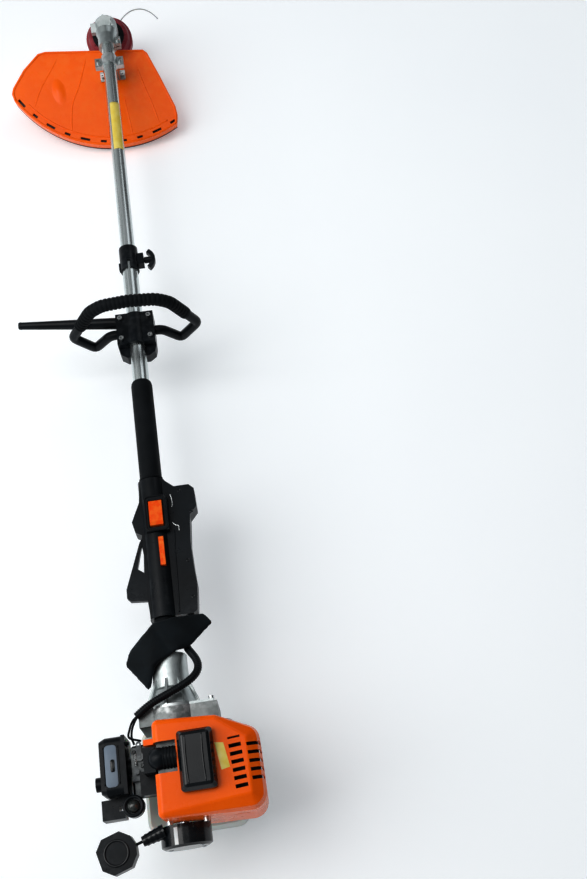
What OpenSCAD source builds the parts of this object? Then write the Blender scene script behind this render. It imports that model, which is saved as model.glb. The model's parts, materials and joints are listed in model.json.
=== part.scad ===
// Petrol string trimmer lying at rest: the fuel tank and the rear edge of the guard touch z = 0.
// The shaft runs along +Y to the cutting head, +X is the muffler side, +Z is the cylinder side.

/* [Shaft] */
// Height of the shaft axis above the ground
axis_h = 140; // [132:1:150]
// Outer diameter of the front tube
front_tube_d = 26; // [25:0.5:27]
// Outer diameter of the rear tube
rear_tube_d = 28; // [27:0.5:28]
// Inner diameter of both tubes
tube_bore_d = 23; // [21:0.5:23.5]
// Where the coupler joins the two tubes
coupler_y = 808; // [790:1:820]
// Diameter of the drive shaft
drive_d = 7; // [6:0.5:7]

/* [Cutting head] */
// Crossing point of the drive shaft and the output shaft
gear_y = 1418; // [1410:1:1425]
// Lean of the cutting disc from the shaft line
head_tilt = 25; // [22:1:27]
// Radius of the line head
head_r = 49; // [45:1:50]

/* [Guard] */
// Radius of the guard's rear edge about the output shaft
guard_r = 248; // [242:1:250]
// Depth of the guard sheet below the crossing point
guard_drop = 12; // [11:1:13]
// Thickness of the guard sheet
guard_t = 3; // [2:0.5:3.5]

/* [Handles] */
// Place of the loop handle along the shaft
loop_y = 650; // [645:1:655]
// Diameter of the loop bar
loop_d = 17; // [15:0.5:17]
// Diameter of the ribbed grip on the loop
loop_grip_d = 22; // [20:0.5:23]
// Length of the barrier bar
barrier_len = 171; // [150:1:171]
// Radius of the throttle handle barrel
barrel_r = 22; // [22:0.5:23]
// Diameter of the front grip
front_grip_d = 36; // [34:0.5:38]

/* [Engine] */
// Height of the top of the engine shroud above the shaft axis
shroud_top = 95; // [94:1:98]
// Radius of the crank throw
crank_throw = 11; // [10:0.5:11]
// Radius of the recoil starter housing
starter_r = 36; // [34:0.5:37]
// Wall of the moulded covers
cover_wall = 2.5; // [2:0.25:3]

/* [Hidden] */
$fn = 64;

orange = [0.93, 0.29, 0.03];
black = [0.06, 0.07, 0.08];
metal = [0.75, 0.77, 0.78];
steel = [0.55, 0.57, 0.6];
cast_grey = [0.45, 0.48, 0.5];
maroon = [0.45, 0.13, 0.17];
milk_white = [0.9, 0.9, 0.86];

// The middle of the whole object, so that the origin stands under its centre
centre_x = -45.5;
centre_y = 633;

// Places and sizes of the gears and bearings
slack = 0.05;
pinion_teeth = 14;
gear_teeth = 19;
case_r = 23;
socket_y = 1354;
bearing_end_y = 1396;
socket_r = 18.5;
bearing_od = 26;
pinion_hub_r = 5;
output_r = 4;
output_low_r = 6;
cone_out = 18;
cone_in = 14;
addendum = 0.7;
dedendum = 1.6;
tooth_root = 0.85;
tooth_tip = 0.25;
tooth_phase = 0.25;
shaft_angle = 90 + head_tilt;
pinion_cone = atan2(sin(shaft_angle), gear_teeth / pinion_teeth + cos(shaft_angle));
gear_cone = shaft_angle - pinion_cone;

// Heights along the output shaft, measured down from the crossing point
flange_z = -34;
head_top_z = -38;
cover_top_z = -62;
cover_low_z = -86;
knob_low_z = -104;
line_z = -72;
line_d = 2.4;

// Depth of the guard's rear edge that puts it on the ground
skirt_low = -(axis_h - guard_r * sin(head_tilt)) / cos(head_tilt);
skirt_top = skirt_low + 6;
guard_left = -61;
guard_right = 32;

bracket_y = 1312;
foot_y = -102;
foot_x = 21;
front_tube_y = [coupler_y, 1377];
rear_tube_y = [32, coupler_y];
drive_y = [10, bearing_end_y - 3];
tube_bushes = [120, 330, 540, 720, 880, 1040, 1200, 1340];

// Centre of the loop bar, right half, as offset from the shaft axis and height above it
loop_path = [[17.5, 0], [46, 0], [77, -33], [110, 9], [68, 80], [46, 94], [0, 99]];
loop_grip_path = [[92, 39.4], [68, 80], [46, 94], [0, 99]];

// Routes: throttle conduit about the shaft axis, cutting line about the output shaft
conduit_d = 12;
conduit_route = [
    [42, 152, -8], [42, 138, -9], [41, 124, -9], [37, 110, -8], [32, 97, -4], [29, 83, 3], [30, 72, 11],
    [35, 62, 19], [41, 51, 25], [44, 40, 30], [42, 29, 35], [34, 19, 40], [22, 11, 44],
    [8, 4, 47], [-8, -3, 49], [-24, -10, 50], [-38, -18, 50], [-50, -26, 48], [-60, -36, 43],
    [-66, -46, 38]
];
line_route = [
    [20, 30, line_z], [26, 38, line_z], [33, 46, line_z], [42, 54, line_z], [53, 60, line_z],
    [65, 63, line_z], [78, 62, line_z], [90, 57, line_z], [101, 48, line_z], [110, 37, line_z]
];

switch_y = 291;
lock_y = 250;
trigger_pivot = [-16, 268];
trigger_low = -26;
trigger_high = -17;

fan_y = [-41, -18];
piston_r = 19;
cylinder_y = -100;
crank_web_r = 27;
cylinder_z = [36, 84];
fin_pitch = 7.4;
fin_t = 2.4;
starter_y = [-206, -176.5];
rope_dir = [-0.958, -0.287, 0];
rope_start = [-24, -180, 21];
grip_centre = [-94, -201, 21];
tank_x = [-60, 88];
tank_y = [-176, -24];
tank_z = -62;
cap_y = -80;
cap_z = -98;
primer_at = [-66, -143.8];
filter_x = [-107, -75];
throttle_arm_at = [-52, -80];
choke_at = [-60, 44];

// ---------- placing and repeated shapes ----------

module on_shaft() translate([-centre_x, -centre_y, axis_h]) children();

module on_head() on_shaft() translate([0, gear_y, 0]) rotate([head_tilt, 0, 0]) children();

module along_y(y = 0) translate([0, y, 0]) rotate([-90, 0, 0]) children();

module along_x(x = 0) translate([x, 0, 0]) rotate([0, 90, 0]) children();

module block(low, high) translate(low) cube(high - low);

module ring(r_out, r_in, h) difference() {
    cylinder(r = r_out, h = h);
    translate([0, 0, -1]) cylinder(r = r_in, h = h + 2);
}

module mirrored() {
    children();
    mirror([1, 0, 0]) children();
}

// Socket-head cap screw, head up, shank down from z = 0
screw_head_r = 4.2;
screw_head_h = 5;
screw_r = 2.4;
module cap_screw(length) {
    difference() {
        cylinder(r = screw_head_r, h = screw_head_h);
        translate([0, 0, 2]) cylinder(r = 2.3, h = screw_head_h, $fn = 6);
    }
    translate([0, 0, -length]) cylinder(r = screw_r, h = length);
}
module screw_hole(length) translate([0, 0, -length - 1]) cylinder(r = screw_r + slack, h = length + 2);

// A tube swept along a route as one closed solid; the route never runs along its up direction
function unit(v) = v / norm(v);
function heading(path, i) =
    unit(path[min(i + 1, len(path) - 1)] - path[max(i - 1, 0)]);
function swept_ring(c, t, r, sides, up) = let (u = unit(cross(t, up)), w = cross(t, u))
    [for (k = [0 : sides - 1]) c + r * (cos(k * 360 / sides) * u + sin(k * 360 / sides) * w)];
module swept_tube(path, d, sides, up = [0, 0, 1]) {
    n = len(path);
    points = [for (i = [0 : n - 1]) each swept_ring(path[i], heading(path, i), d / 2, sides, up)];
    walls = [for (i = [0 : n - 2]) for (k = [0 : sides - 1])
        [i * sides + k, (i + 1) * sides + k, (i + 1) * sides + (k + 1) % sides,
         i * sides + (k + 1) % sides]];
    first_cap = [for (k = [0 : sides - 1]) k];
    last_cap = [for (k = [0 : sides - 1]) n * sides - 1 - k];
    polyhedron(points = points, faces = concat(walls, [first_cap], [last_cap]), convexity = 6);
}

// A route whose corners are rounded, each starting a distance reach before the corner
function corner(p, q, s, reach) = let (a = q + reach * unit(p - q), b = q + reach * unit(s - q))
    [for (k = [0 : 4]) let (f = k / 4) (1 - f) * (1 - f) * a + 2 * f * (1 - f) * q + f * f * b];
function rounded(path, reach) = concat(
    [path[0]],
    [for (i = [1 : len(path) - 2]) each corner(path[i - 1], path[i], path[i + 1], reach)],
    [path[len(path) - 1]]
);

// Straight bevel gear with its apex at the origin and its body below
module bevel(teeth, cone, bore_r, phase) {
    function on_cone(dist, off) =
        [dist * sin(cone) - off * cos(cone), -dist * cos(cone) - off * sin(cone)];
    inner = on_cone(cone_in, dedendum);
    outer = on_cone(cone_out, dedendum);
    back = outer[1] - 3;
    rotate_extrude() polygon([[bore_r, inner[1]], inner, outer, [outer[0], back], [bore_r, back]]);
    for (i = [0 : teeth - 1])
        rotate([0, 0, (i + phase) * 360 / teeth])
            rotate([0, 180 - cone, 0])
                translate([0, 0, cone_in])
                    linear_extrude(cone_out - cone_in)
                        polygon([[dedendum + 0.2, -tooth_root], [-addendum, -tooth_tip],
                                 [-addendum, tooth_tip], [dedendum + 0.2, tooth_root]]);
}

// ---------- gear case and cutting head ----------

module gear_case() color(metal) difference() {
    union() {
        on_shaft() along_y(socket_y) cylinder(r = socket_r, h = gear_y - socket_y - 6);
        on_shaft() along_y(socket_y + 30) cylinder(r1 = socket_r, r2 = case_r - 1, h = 14);
        on_shaft() block([socket_r - 5, socket_y + 2, -8], [socket_r + 9, socket_y + 22, 8]);
        on_head() translate([0, 0, -32]) cylinder(r = case_r, h = 36);
        on_head() translate([0, 0, 4]) cylinder(r1 = case_r, r2 = 15, h = 12);
        on_head() translate([0, 0, 16]) cylinder(r = 13, h = 7.5);
        for (a = [40 : 60 : 340])
            on_head() rotate([0, 0, a]) translate([14, 0, 0]) cylinder(r = 3.4, h = 20);
        on_head() block([-case_r - 8, -14, -6], [-case_r + 6, 6, 8]);
    }
    on_shaft() along_y(socket_y - 1) cylinder(d = bearing_od, h = bearing_end_y + 1 - socket_y);
    on_shaft() along_y(bearing_end_y - 1) cylinder(r = 14.6, h = gear_y + 1 - bearing_end_y);
    on_shaft() block([0, socket_y - 1, -1], [socket_r + 12, socket_y + 24, 1]);
    on_head() translate([0, 0, -17]) cylinder(r = 19.8, h = 19);
    on_head() translate([0, 0, -33]) cylinder(r = 16, h = 17);
    on_head() translate([0, 0, -1]) cylinder(r = 9.5, h = 18);
    on_head() cylinder(r = 7, h = 20.8);
    on_shaft() translate([socket_r + 4, socket_y + 12, 8]) screw_hole(20);
}

module gear_bearings() color(steel) {
    for (y = [bearing_end_y - 18, bearing_end_y - 9])
        on_shaft() along_y(y) ring(bearing_od / 2, pinion_hub_r + slack, 8);
    on_head() translate([0, 0, -31]) ring(16, output_low_r + slack, 12);
    on_head() translate([0, 0, 17.4]) ring(7, output_r + slack, 3.4);
}

module bevel_pinion() color(steel) on_shaft() {
    translate([0, gear_y, 0]) rotate([-90, 0, 0])
        bevel(pinion_teeth, pinion_cone, drive_d / 2, tooth_phase);
    along_y(bearing_end_y - 17) ring(pinion_hub_r, drive_d / 2, 23);
}

module bevel_gear() color(steel) on_head() bevel(gear_teeth, gear_cone, output_r, tooth_phase);

module output_shaft() color(metal) on_head() {
    translate([0, 0, -18]) cylinder(r = output_r, h = 38.6);
    translate([0, 0, head_top_z]) cylinder(r = output_low_r, h = -18 - head_top_z);
    translate([0, 0, head_top_z]) cylinder(r = 17, h = flange_z - head_top_z);
    translate([0, 0, cover_top_z]) cylinder(r = 5, h = head_top_z - cover_top_z);
}

module head_housing() color(black) on_head() {
    rotate_extrude() polygon([
        [5, head_top_z], [16, head_top_z], [20, -43], [37, -45], [41, -49], [45.5, cover_top_z],
        [42, cover_top_z], [38.5, -50], [36, -47.5], [9, -47.5], [9, -80], [5, -80]
    ]);
    for (a = [0 : 30 : 330])
        rotate([0, 0, a]) block([22, -1.2, -45], [37, 1.2, -43]);
}

module head_cover() color(maroon) on_head() difference() {
    rotate_extrude() polygon([
        [45.5, cover_top_z], [head_r, cover_top_z - 2], [head_r, cover_low_z + 3],
        [head_r - 4, cover_low_z], [27, cover_low_z], [27, cover_low_z + 2],
        [head_r - 5, cover_low_z + 2], [head_r - 3.5, cover_low_z + 4], [head_r - 3.5, cover_top_z - 2],
        [42, cover_top_z - 1], [42, cover_top_z]
    ]);
    for (a = [0 : 20 : 340])
        rotate([0, 0, a + 5]) translate([head_r + 1, 0, cover_low_z + 5]) cylinder(r = 2.2, h = 16);
    for (a = [52, 232])
        rotate([0, 0, a]) translate([head_r - 8, 0, line_z]) rotate([0, 90, 0]) cylinder(r = 4, h = 12);
}

module spool() color(black) on_head() rotate_extrude() polygon([
    [9.6, -66], [40, -66], [40, -67.5], [14, -67.5], [14, -81], [40, -81], [40, -82.5], [9.6, -82.5]
]);

module bump_knob() color(black) on_head() {
    rotate_extrude() polygon([
        [9.6, -82.5], [25.5, -82.5], [25.5, -97], [22, -102], [14, knob_low_z], [0, knob_low_z],
        [0, -101], [9.6, -99]
    ]);
}

module head_spring() color(steel) on_head()
    for (i = [0 : 3])
        translate([0, 0, -59 + i * 3.2]) rotate_extrude() translate([12.5, 0]) circle(r = 0.9, $fn = 16);

module cutting_line() color("lightgrey") on_head() swept_tube(line_route, line_d, 8);

// ---------- guard ----------

function arc_points(r, from, to, step) = [for (a = [from : step : to]) r * [sin(a), -cos(a)]];
guard_outline = concat(
    arc_points(guard_r, guard_left + 3, guard_right - 3, 2.9),
    [[124, -198], [122, -180], [98, -112], [78, -60], [70, -52], [-134, -34], [-150, -37],
     [-184, -68], [-210, -104], [-214, -116]]
);

module guard_wall(z_low, z_high, t) translate([0, 0, z_low]) linear_extrude(z_high - z_low)
    difference() {
        polygon(guard_outline);
        offset(delta = -t) polygon(guard_outline);
    }

module guard() color(orange) on_head() difference() {
    union() {
        translate([0, 0, -guard_drop - guard_t]) linear_extrude(guard_t) polygon(guard_outline);
        intersection() {
            guard_wall(skirt_top, -guard_drop - guard_t, guard_t);
            block([-guard_r, -guard_r - 1, -60], [guard_r, -105, 0]);
        }
        guard_wall(-guard_drop - guard_t - 9, -guard_drop - guard_t, guard_t);
    }
    for (i = [0 : 9])
        rotate([0, 0, guard_left + 6 + i * 9.2]) guard_slot(i % 2 == 0 ? 10 : 6);
    mirrored() translate([foot_x, foot_y, -guard_drop]) screw_hole(12);
}

module guard_slot(half) block([-half, -guard_r + 6, -20], [half, -guard_r + 11, 0]);

module guard_skirt() color(black) on_head() translate([0, 0, skirt_low])
    rotate([0, 0, guard_left - 90 + 3]) rotate_extrude(angle = guard_right - guard_left - 6, $fn = 180)
        translate([guard_r - guard_t, 0]) square([guard_t, skirt_top - skirt_low]);

cutter_y = -guard_r + guard_t + 1.1;
module line_cutter() color(steel) on_head() rotate([0, 0, -40])
    block([-20, cutter_y, skirt_low + 4], [20, cutter_y + 1.6, -guard_drop - guard_t - 2]);

module guard_bracket() color(metal) difference() {
    union() {
        on_shaft() along_y(bracket_y - 13) ring(front_tube_d / 2 + 3, front_tube_d / 2, 26);
        on_shaft() mirrored() block([front_tube_d / 2 + 1, bracket_y - 12, -7], [29, bracket_y + 12, 3]);
        on_shaft() mirrored() bracket_leg();
        on_head() block([-26, foot_y - 10, -guard_drop], [26, foot_y + 10, -guard_drop + 3]);
    }
    on_shaft() mirrored() translate([22, bracket_y, 3]) screw_hole(14);
    on_head() mirrored() translate([foot_x, foot_y, -guard_drop + 3]) screw_hole(8);
    on_shaft() along_y(bracket_y - 40) cylinder(d = front_tube_d, h = 80);
}

// Side plate between the tube clamp and the foot on the guard
module bracket_leg() translate([13, 0, 0]) rotate([90, 0, 90]) linear_extrude(3)
    polygon([[bracket_y - 12, 0], [bracket_y + 9, -56.8], [bracket_y + 26, -48.9], [bracket_y + 12, 0]]);

module cap_screws() color(steel) {
    on_shaft() translate([socket_r + 4, socket_y + 12, 8]) cap_screw(15);
    on_shaft() mirrored() translate([22, bracket_y, 3]) cap_screw(12);
    on_head() mirrored() translate([foot_x, foot_y, -guard_drop + 3]) cap_screw(9);
    on_shaft() for (y = [loop_y - 20, loop_y + 22])
        mirrored() translate([25, y, 16]) cap_screw(34);
    on_shaft() for (p = shroud_screws)
        translate([p[0], p[1], shroud_top - 40]) rotate([90, 0, 0]) cap_screw(8);
    on_shaft() for (p = case_screws)
        translate([p[0], fan_y[1] + (p[0] < 0 ? 0 : 4), p[1]]) rotate([-90, 0, 0]) cap_screw(12);
}

// ---------- tubes and drive line ----------

module tube(ends, d) on_shaft() along_y(ends[0]) ring(d / 2, tube_bore_d / 2, ends[1] - ends[0]);

module front_tube() color(metal) tube(front_tube_y, front_tube_d);

module rear_tube() color(metal) tube(rear_tube_y, rear_tube_d);

module drive_shaft() color(steel) on_shaft()
    along_y(drive_y[0]) cylinder(d = drive_d, h = drive_y[1] - drive_y[0]);

module shaft_bushes() color(black) on_shaft()
    for (y = tube_bushes)
        along_y(y) ring(tube_bore_d / 2, drive_d / 2 + slack, 24);

module coupler_body() color(black) on_shaft() difference() {
    union() {
        along_y(coupler_y - 26) cylinder(r = 17, h = 50);
        block([8, coupler_y - 16, -8], [27, coupler_y + 8, 8]);
        block([-19, coupler_y - 22, -5], [-12, coupler_y - 8, 5]);
    }
    along_y(coupler_y - 27) cylinder(d = rear_tube_d, h = 27);
    along_y(coupler_y - 1) cylinder(d = front_tube_d, h = 30);
    block([-2.5, coupler_y - 27, 0], [2.5, coupler_y - 10, 20]);
    translate([0, coupler_y - 4, 0]) along_x(16) cylinder(r = 4 + slack, h = 12);
}

module coupler_knob() color(black) on_shaft() translate([0, coupler_y - 4, 0]) {
    along_x(17) cylinder(r = 4, h = 26);
    along_x(28) cylinder(r = 6, h = 14);
    linear_extrude(9, center = true) difference() {
        translate([21, 0]) intersection() {
            circle(r = 27);
            polygon([[0, 0], [40, -52], [40, 52]]);
        }
        translate([21, 0]) circle(r = 19);
    }
}

// ---------- loop handle, barrier bar and front grip ----------

// Both halves of a loop route, from the left end over the top to the right end
function whole_loop(half) = concat(
    [for (p = half) [-p[0], loop_y, p[1]]],
    [for (i = [len(half) - 2 : -1 : 0]) [half[i][0], loop_y, half[i][1]]]
);

module loop_bar() swept_tube(rounded(whole_loop(loop_path), 9), loop_d, 24, [0, 1, 0]);

module loop_handle() color(black) on_shaft() loop_bar();

module loop_grip() color(black) on_shaft() difference() {
    swept_tube(rounded(whole_loop(loop_grip_path), 9), loop_grip_d, 24, [0, 1, 0]);
    loop_bar();
}

module bracket_holes() {
    along_y(loop_y - 80) cylinder(d = rear_tube_d, h = 160);
    mirrored() translate([0, loop_y, 0]) along_x(17) cylinder(d = loop_d, h = 20);
    for (y = [loop_y - 20, loop_y + 22])
        mirrored() translate([25, y, 16]) screw_hole(40);
}

module bracket_cap() color(black) on_shaft() difference() {
    union() {
        block([-33, loop_y - 30, 0], [33, loop_y + 32, 16]);
        intersection() {
            along_y(loop_y - 30) cylinder(r = 20, h = 62);
            block([-20, loop_y - 30, 0], [20, loop_y + 32, 24]);
        }
    }
    bracket_holes();
}

module bracket_base() color(black) on_shaft() difference() {
    union() {
        block([-33, loop_y - 30, -22], [33, loop_y + 32, 0]);
        mirrored() translate([0, loop_y, -22]) linear_extrude(22)
            polygon([[12, -30], [33, -30], [30, -42], [19, -50], [12, -50]]);
    }
    bracket_holes();
}

module barrier_bar() color(black) on_shaft() difference() {
    translate([-33, loop_y + 24, 0]) rotate([0, 0, -7]) rotate([0, -90, 0]) {
        translate([0, 0, -3]) cylinder(r1 = 10.6, r2 = 6.5, h = barrier_len + 1);
        translate([0, 0, barrier_len - 2]) cylinder(r1 = 7, r2 = 6, h = 4);
    }
    block([-33, loop_y - 10, -30], [0, loop_y + 60, 30]);
}

grip_y = [342, 547];
module front_grip() color(black) on_shaft() along_y(grip_y[0]) rotate_extrude() {
    r = front_grip_d / 2;
    long = grip_y[1] - grip_y[0];
    polygon([[rear_tube_d / 2, 14], [r - 1, 14], [r - 1, 17], [r, 18], [r, long - 8], [r - 1, long - 3],
             [r - 3, long], [rear_tube_d / 2, long]]);
    for (z = [15.3, 20])
        translate([r, z]) circle(r = 1.2, $fn = 24);
}

// ---------- throttle handle ----------

handle_outline = [
    [-20, 124], [-22, 150], [-22, 262], [-32, 268], [-36, 286], [-30, 300], [-22, 318], [-18, 355],
    [18, 355], [36, 339], [60, 339], [68, 331], [69, 300], [57, 286], [53, 240], [54, 200],
    [56, 172], [54, 146], [52, 128], [46, 124]
];

module handle_form() {
    along_y(124) cylinder(r = barrel_r, h = 232);
    translate([0, 0, -9]) along_y(124) cylinder(r = barrel_r, h = 156);
    translate([0, 0, -20]) linear_extrude(33) polygon(handle_outline);
    block([-13, 261, 0], [23, 322, 25]);
}

module handle_cavities() {
    along_y(120) cylinder(d = rear_tube_d, h = 240);
    block([-8, switch_y - 23, 15.2], [17, switch_y + 23, 30]);
    block([3.5, lock_y - 47.5, 13.6], [12.5, lock_y + 2, 30]);
    block([-60, 154, trigger_low - 0.5], [12, 281, trigger_high + 0.5]);
    translate(conduit_route[0]) rotate([90, 0, 0]) cylinder(r = conduit_d / 2 + 1.4, h = 40);
    block([24, 150, -15], [46, 330, 6]);
}

module handle_shell_top() color(black) on_shaft() intersection() {
    difference() {
        handle_form();
        handle_cavities();
    }
    block([-80, 100, 0], [80, 360, 60]);
}

module handle_shell_bottom() color(black) on_shaft() intersection() {
    difference() {
        handle_form();
        handle_cavities();
    }
    block([-80, 100, -60], [80, 360, 0]);
}

module throttle_trigger() color(black) on_shaft() translate([0, 0, trigger_low])
    linear_extrude(trigger_high - trigger_low) difference() {
        union() {
            polygon([[-14, 264], [-21, 273], [-30, 262], [-57, 186], [-57, 172], [-52, 166],
                     [-12, 162]]);
            translate(trigger_pivot) circle(r = 6);
        }
        polygon([[-27, 257], [-37, 218], [-27, 210], [-25, 240]]);
    }

module lockout_lever() color(orange) on_shaft() difference() {
    block([4, lock_y - 46, 16.5], [12, lock_y + 1, 25]);
    translate([0, lock_y - 46, 25]) rotate([30, 0, 0]) block([0, -4, 0], [20, 0, 6]);
}

module stop_switch() color(orange) on_shaft() translate([-6, switch_y, 0]) rotate([90, 0, 90])
    linear_extrude(21) polygon([[-21, 18.5], [21, 18.5], [21, 27], [8, 30], [-16, 31.5], [-21, 29]]);

// ---------- hip pad and throttle conduit ----------

pad_r = 4;
module pad_flap(corners) hull() for (p = corners) translate(p) sphere(r = pad_r, $fn = 16);

module hip_pad() color(black) on_shaft() difference() {
    union() {
        pad_flap([[-16, 112, 21], [-54, 80, 4], [-62, 62, 0], [-34, 24, 0], [-33, 46, 14],
                  [-20, 50, 31]]);
        pad_flap([[-16, 112, 21], [-20, 50, 31], [12, 66, 33], [16, 116, 22]]);
        pad_flap([[16, 116, 22], [12, 66, 33], [34, 72, 28], [68, 104, 18], [58, 116, 16]]);
    }
    along_y(0) cylinder(r = 28.4, h = 68.5);
    along_y(60) cylinder(d = rear_tube_d + 0.6, h = 100);
}

module throttle_conduit() color(black) on_shaft() swept_tube(conduit_route, conduit_d, 12);

// ---------- clutch and crank ----------

module clutch_case() color(metal) on_shaft() difference() {
    union() {
        along_y(fan_y[1]) rotate_extrude() polygon([
            [0, 0], [46, 0], [46, 4], [40, 6], [31, 30], [27, 34], [27, 82], [25, 84], [0, 84]
        ]);
        block([-34, fan_y[1], -30], [61, fan_y[1] + 4, 38]);
        for (a = [20 : 40 : 340])
            along_y(fan_y[1]) rotate([0, 0, a]) rotate([90, 0, 0]) linear_extrude(4, center = true)
                polygon([[20, 0], [44, 2], [44, 6], [27, 46], [20, 46]]);
    }
    along_y(rear_tube_y[0]) cylinder(d = rear_tube_d, h = 60);
    along_y(-10) cylinder(r = 27, h = 22);
    along_y(-19) cylinder(r = 9, h = 60);
    for (p = case_screws)
        translate([p[0], fan_y[1], p[1]]) rotate([-90, 0, 0]) screw_clear();
}
case_screws = [[58, 30], [-38, 34], [58, -26], [-40, -30]];
module screw_clear() cylinder(r = screw_head_r + 0.5, h = 30);

module clutch_drum() color(steel) on_shaft() {
    along_y(-7) ring(25, 22.5, 15);
    along_y(6) ring(25, drive_d / 2, 3);
    along_y(9) ring(8.5, drive_d / 2, 20);
}

module clutch_shoes() color(cast_grey) on_shaft() difference() {
    along_y(-6) ring(21.5, 6, 10);
    for (a = [0, 120, 240])
        rotate([0, a, 0]) block([0, -8, -1.2], [30, 6, 1.2]);
}

module crankcase() color(cast_grey) on_shaft() difference() {
    union() {
        along_y(fan_y[0]) cylinder(r = 48, h = fan_y[1] - fan_y[0]);
        block([-48, fan_y[0], -40], [66, fan_y[1], 40]);
        along_y(-150) cylinder(r = 36, h = 150 + fan_y[0]);
        translate([0, cylinder_y, 0]) cylinder(r = 30, h = cylinder_z[0]);
        for (y = [-140, -76])
            block([-30, y, tank_z], [30, y + 16, -20]);
    }
    along_y(fan_y[0] + 3) cylinder(r = 45, h = 40);
    along_y(-130) cylinder(r = 31, h = 60);
    along_y(-151) cylinder(r = 7.5 + slack, h = 120);
    translate([0, cylinder_y, 0]) cylinder(r = piston_r + slack, h = 60);
    for (p = case_screws)
        translate([p[0], fan_y[1], p[1]]) rotate([-90, 0, 0]) screw_hole(14);
}

module flywheel() color(metal) on_shaft() {
    along_y(-37) ring(42, 7.5, 7);
    along_y(-30) ring(14, 7.5, 10);
    for (a = [0 : 24 : 336])
        rotate([0, a, 0]) block([22, -31, -1.2], [41, -21, 1.2]);
}

module crankshaft() color(steel) on_shaft() {
    along_y(-112) translate([0, -crank_throw, 0]) cylinder(r = 6, h = 24);
    for (y = [-124, -88])
        along_y(y) cylinder(r = crank_web_r, h = 12);
    along_y(-178) cylinder(r = 7.5, h = 54);
    along_y(-76) cylinder(r = 7.5, h = 62);
    along_y(-14) cylinder(r = 6, h = 18);
}

fin_outline = [
    [-20, -34], [34, -34], [38, -28], [38, 28], [34, 34], [-20, 34], [-22.5, 30], [-22.5, -30]
];

module cylinder_barrel() color(cast_grey) on_shaft() difference() {
    union() {
        translate([0, cylinder_y, cylinder_z[0]]) cylinder(r = 22.5, h = cylinder_z[1] - cylinder_z[0]);
        for (i = [0 : 6])
            translate([0, cylinder_y, cylinder_z[0] + i * fin_pitch]) linear_extrude(fin_t)
                polygon(fin_outline);
    }
    translate([0, cylinder_y, cylinder_z[0] - 1]) cylinder(r = piston_r + slack, h = 43);
    translate([14, cylinder_y, cylinder_z[0] + 30]) rotate([0, 30, 0]) cylinder(r = 5, h = 30);
}

module piston() color(metal) on_shaft() translate([0, cylinder_y, 50]) difference() {
    cylinder(r = piston_r, h = 24);
    translate([0, 0, -1]) cylinder(r = 15.5, h = 20);
    for (z = [19, 21.5])
        translate([0, 0, z]) ring(piston_r + 1, piston_r - 1.2, 1);
}

module spark_plug() color("white") on_shaft()
    translate([14, cylinder_y, cylinder_z[0] + 30]) rotate([0, 30, 0]) {
        translate([0, 0, 10]) cylinder(r = 5, h = 14);
        translate([0, 0, 24]) cylinder(r = 6.5, h = 5, $fn = 6);
        translate([0, 0, 29]) cylinder(r = 4, h = 11);
    }

// ---------- engine covers ----------

plug_low = [8, -146, shroud_top];
plug_high = [57, -66, shroud_top + 20];
module plug_cover() color(black) on_shaft() difference() {
    hull() {
        for (x = [plug_low[0] + 5, plug_high[0] - 5])
            for (y = [plug_low[1] + 5, plug_high[1] - 5])
                translate([x, y, plug_low[2]]) cylinder(r = 5, h = 10, $fn = 32);
        for (x = [plug_low[0] + 9, plug_high[0] - 9])
            for (y = [plug_low[1] + 9, plug_high[1] - 9])
                translate([x, y, plug_high[2] - 6]) sphere(r = 6, $fn = 32);
    }
    block(plug_low + [3, 3, -1], plug_high - [3, 3, 6]);
}

// Corner posts of the shroud: place, radius and crown radius
shroud_posts = [[-17, -52, 9], [60, -57, 9], [99, -86, 21], [98, -156, 22], [-18, -165, 9]];
shroud_low = -38;
shroud_screws = [[-16, -174.1], [34, -176.1]];
module shroud_form(shrink) hull() for (p = shroud_posts) {
    translate([p[0], p[1], shroud_low - 1]) cylinder(r = p[2] - shrink, h = 60, $fn = 32);
    translate([p[0], p[1], shroud_top - 9]) sphere(r = 9 - shrink, $fn = 32);
    translate([p[0], p[1], shroud_top - 24])
        cylinder(r1 = p[2] - shrink, r2 = p[2] - 4 - shrink, h = 14, $fn = 32);
}

// Hole through the shroud wall with room for a screw head that sits a little below the surface
module screw_clear_hole() {
    screw_hole(12);
    cylinder(r = screw_head_r + 0.4, h = screw_head_h);
}

module louvre(long, half, high) rotate([0, 0, 4]) block([0, -half, 0], [long, half, high]);

module shroud() color(orange) on_shaft() {
    difference() {
        shroud_form(0);
        shroud_form(cover_wall);
        block([-60, -200, shroud_low - 5], [130, 0, shroud_low]);
        block([-40, -200, -60], [-22, 0, 58]);
        block([-40, -116, 40], [5, -74, 120]);
        block([-28, -60, -60], [60, -30, 62]);
        along_y(-190) cylinder(r = 30, h = 30);
        block([14, -128, 80], [50, -76, 110]);
        for (i = [0 : 6])
            translate([76 + i * 0.6, -84 - i * 10.7, 70]) louvre(17, i == 0 ? 1.4 : 2.6, 40);
        for (i = [0 : 4])
            translate([101 + i * 0.6, -95 - i * 11.2, 40]) louvre(30, 2.4, 60);
        translate([72, -190, 40]) rotate([0, -8, 0]) block([0, 0, 0], [22, 30, 4]);
        for (p = shroud_screws)
            translate([p[0], p[1], shroud_top - 40]) rotate([90, 0, 0]) screw_clear_hole();
    }
    block([-42, -71, 50], [-23.8, -63, 64]);
}

module muffler() color(cast_grey) on_shaft() difference() {
    union() {
        block([46, -148, -26], [103, -78, 70]);
        translate([0, cylinder_y, 60]) along_x(38.5) cylinder(r = 11, h = 8);
        translate([50, -60, -6]) rotate([90, 0, 0]) cylinder(r = 8, h = 19);
    }
    block([48, -146, -24], [101, -80, 68]);
}

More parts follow.
